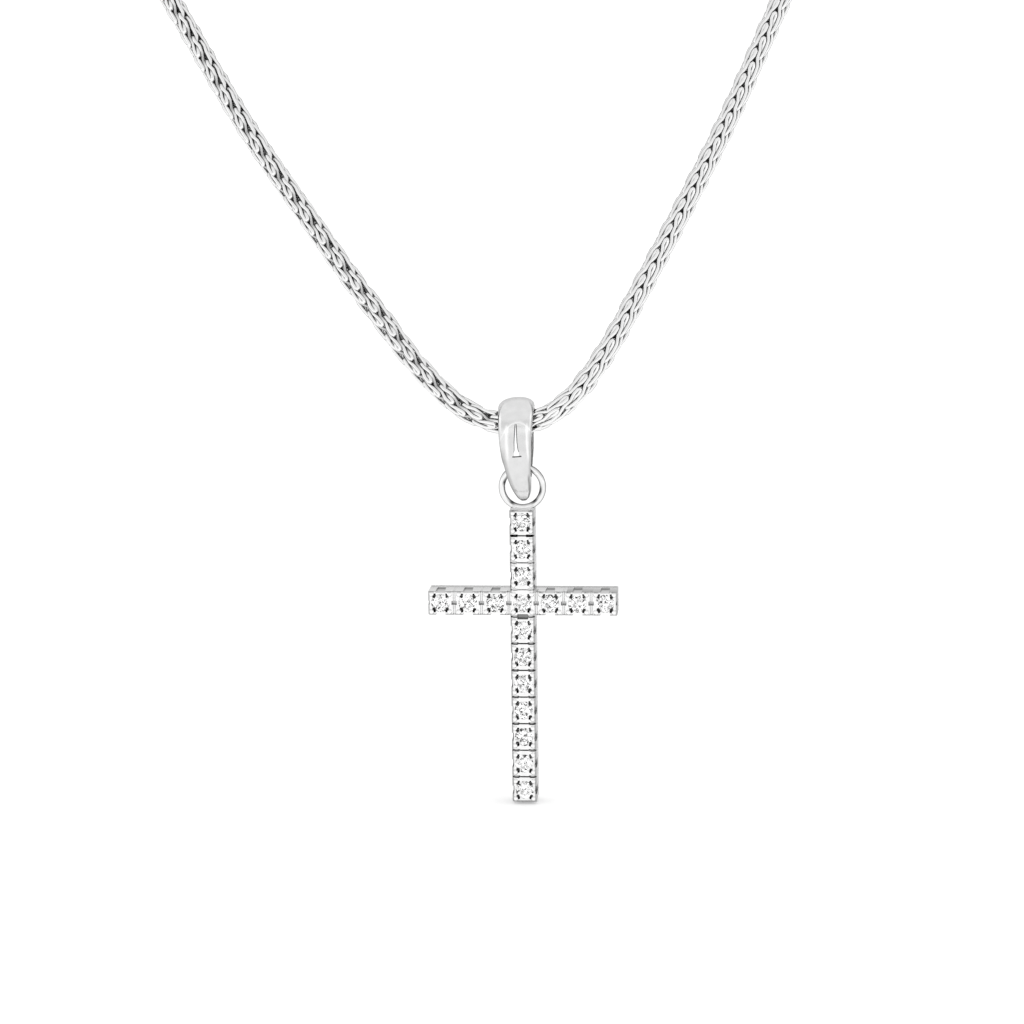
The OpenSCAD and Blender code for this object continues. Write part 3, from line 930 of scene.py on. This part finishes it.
def front_relief(x, z):
    """How far each point stands before the collets' front plane, and its tone, which holds painted light
    and shade.
    """
    at = Places(x, z)
    high = -at.rounded()
    # Painted light on the edges that look up
    tone = np.where(at.looks_up, TOP_TONE, FRONT_TONE)
    for step in (saw_cuts, pits, gallery_cuts, drops_and_prongs):
        high, tone = step(at, high, tone)
    # Painted shade along the outer edges, but not on the edges that look up
    edge = ease(at.by_arm(EDGE_WIDE) - at.inside, 0, 0.05)
    tone = np.where(at.looks_up, tone, tone * (1 - EDGE_DARK * edge))
    # Painted shade on the upright's right side
    tone = np.where(at.upright & ~at.gallery & (x > COLLET - CELL / 2), SIDE_TONE, tone)
    # Painted shade in the wells
    well = at.r < WELL_R - CELL / 2
    high = np.where(well, -WELL_LIP - WELL_SLOPE * np.clip(WELL_R - at.r, 0, WELL_WIDE), high)
    return high, np.where(well, WELL_TONE, tone)


def back_relief(x, z):
    """The same for the back, which is plain but for the light holes behind the stones: painted shade in
    the holes and along the edges, and painted light on the edges that look up.
    """
    at = Places(x, z)
    hole = at.r < LIGHT_HOLE_R - CELL / 2
    painted_dark = BACK_TONE - BACK_EDGE_DARK * ease(EDGE_R - at.inside, 0, 0.05)
    tone = np.where(at.looks_up, TOP_TONE, painted_dark)
    return np.where(hole, -LIGHT_HOLE_DEEP, -at.rounded()), np.where(hole, LIGHT_HOLE_TONE, tone)


def circle_shift(x, z, radius):
    """Moves points close to a stone's circle onto it, so that its edge is round."""
    u = from_stone(x)
    v = from_stone(z)
    r = np.maximum(np.hypot(u, v), 1e-6)
    on = np.abs(r - radius) < CELL / 2
    return np.where(on, u * radius / r - u, 0), np.where(on, v * radius / r - v, 0)


def corner_shift(x, z):
    """Moves points near the outer corners of the arms onto round corners."""
    side_x = np.where(on_upright(x), COLLET, ARM_END)
    end_z = np.where(z > 0, CROSS_TOP, CROSS_FOOT)
    side_z = np.where(on_upright(x), end_z, COLLET * np.sign(z))
    a = CORNER_R - (side_x - np.abs(x))
    b = CORNER_R - np.abs(side_z - z)
    near = (a > 0) & (b > 0)
    scale = np.where(near, np.maximum(a, b) / np.maximum(np.hypot(a, b), 1e-6), 1)
    return (np.where(near, (scale - 1) * a * np.sign(x), 0),
            np.where(near, (scale - 1) * b * np.sign(side_z), 0))


def carved(relief, plane, radius):
    """One side of the cross: the grid with its relief, its tones and its round holes."""
    shape = cross_grid()
    x = np.array([vert.co.x for vert in shape.verts])
    z = np.array([vert.co.z for vert in shape.verts])
    high, tone = relief(x, z)
    dx, dz = circle_shift(x, z, radius)
    cx, cz = corner_shift(x, z)
    y = plane + np.sign(plane) * high
    for vert, place in zip(shape.verts, zip(x + dx + cx, y, z + dz + cz)):
        vert.co = place
    tint(shape, tone)
    return shape


RING_R = 1.12
RING_WIRE_R = 0.18
RING_AT = 6.305  # above the crossing stone
RING_SIDES, RING_STEPS = 24, 96
# The ring's plain tone, and how dark its painted shade is along the outlines and in the spots inside
RING_TONE, RING_EDGE_DARK, RING_SPOT_SHADE = 0.85, 0.6, 0.9
# Spots of painted shade inside the ring, in degrees round it from the right, and how wide they are
RING_SHADE_SPOTS = [(-124, 10), (-48, 13), (163, 9), (-12, 16)]


def ring_painted_shade(x, y, z):
    """Painted shade along the ring's outlines, and in spots on its inner side."""
    out = (math.hypot(x, z) - RING_R) / RING_WIRE_R
    turn = math.degrees(math.atan2(z, x))
    shade_spots = min(sum(bump(turn, at, wide) for at, wide in RING_SHADE_SPOTS), 1)
    level = RING_TONE - RING_EDGE_DARK * ease(abs(out), 0.6, 0.9)
    return level * (1 - RING_SPOT_SHADE * shade_spots * ease(-out, 0, 0.4))


def ring():
    """The round jump ring on top of the cross."""
    shape = bmesh.new()
    start = Matrix.Translation((RING_R, 0, 0))
    wire = bmesh.ops.create_circle(shape, segments=RING_SIDES, radius=RING_WIRE_R, matrix=start)["verts"]
    edges = list(dict.fromkeys(e for v in wire for e in v.link_edges))
    bmesh.ops.spin(shape, geom=wire + edges, cent=(0, 0, 0), axis=(0, 1, 0), angle=2 * math.pi,
                   steps=RING_STEPS, use_merge=True)
    tint(shape, [ring_painted_shade(*vert.co) for vert in shape.verts])
    bmesh.ops.translate(shape, vec=(0, 0, RING_AT), verts=shape.verts)
    return shape


def cross():
    """Front, back and ring as one piece of metal."""
    shape = carved(front_relief, FRONT, WELL_R)
    join(shape, carved(back_relief, BACK, LIGHT_HOLE_R))
    bridge(shape)
    join(shape, ring())
    place = Matrix.Scale(MM, 4) @ Matrix.Translation(CROSSING)
    bmesh.ops.transform(shape, matrix=place, verts=shape.verts)
    finish(shape, "cross_dressed", SET_GOLD, "cross", "cross", sharp=42)


cross()


# Caps and clasp, hidden at the nape

def smoothed(node):
    """A copy of a turned piece, shaded as the round metal that it is."""
    shape = bmesh.new()
    shape.from_mesh(frame["nodes"][node].data)
    finish(shape, node + "_dressed", POLISHED, "necklace", node, sharp=35)


for node in ("end_cap_left", "end_cap_right", "clasp"):
    smoothed(node)
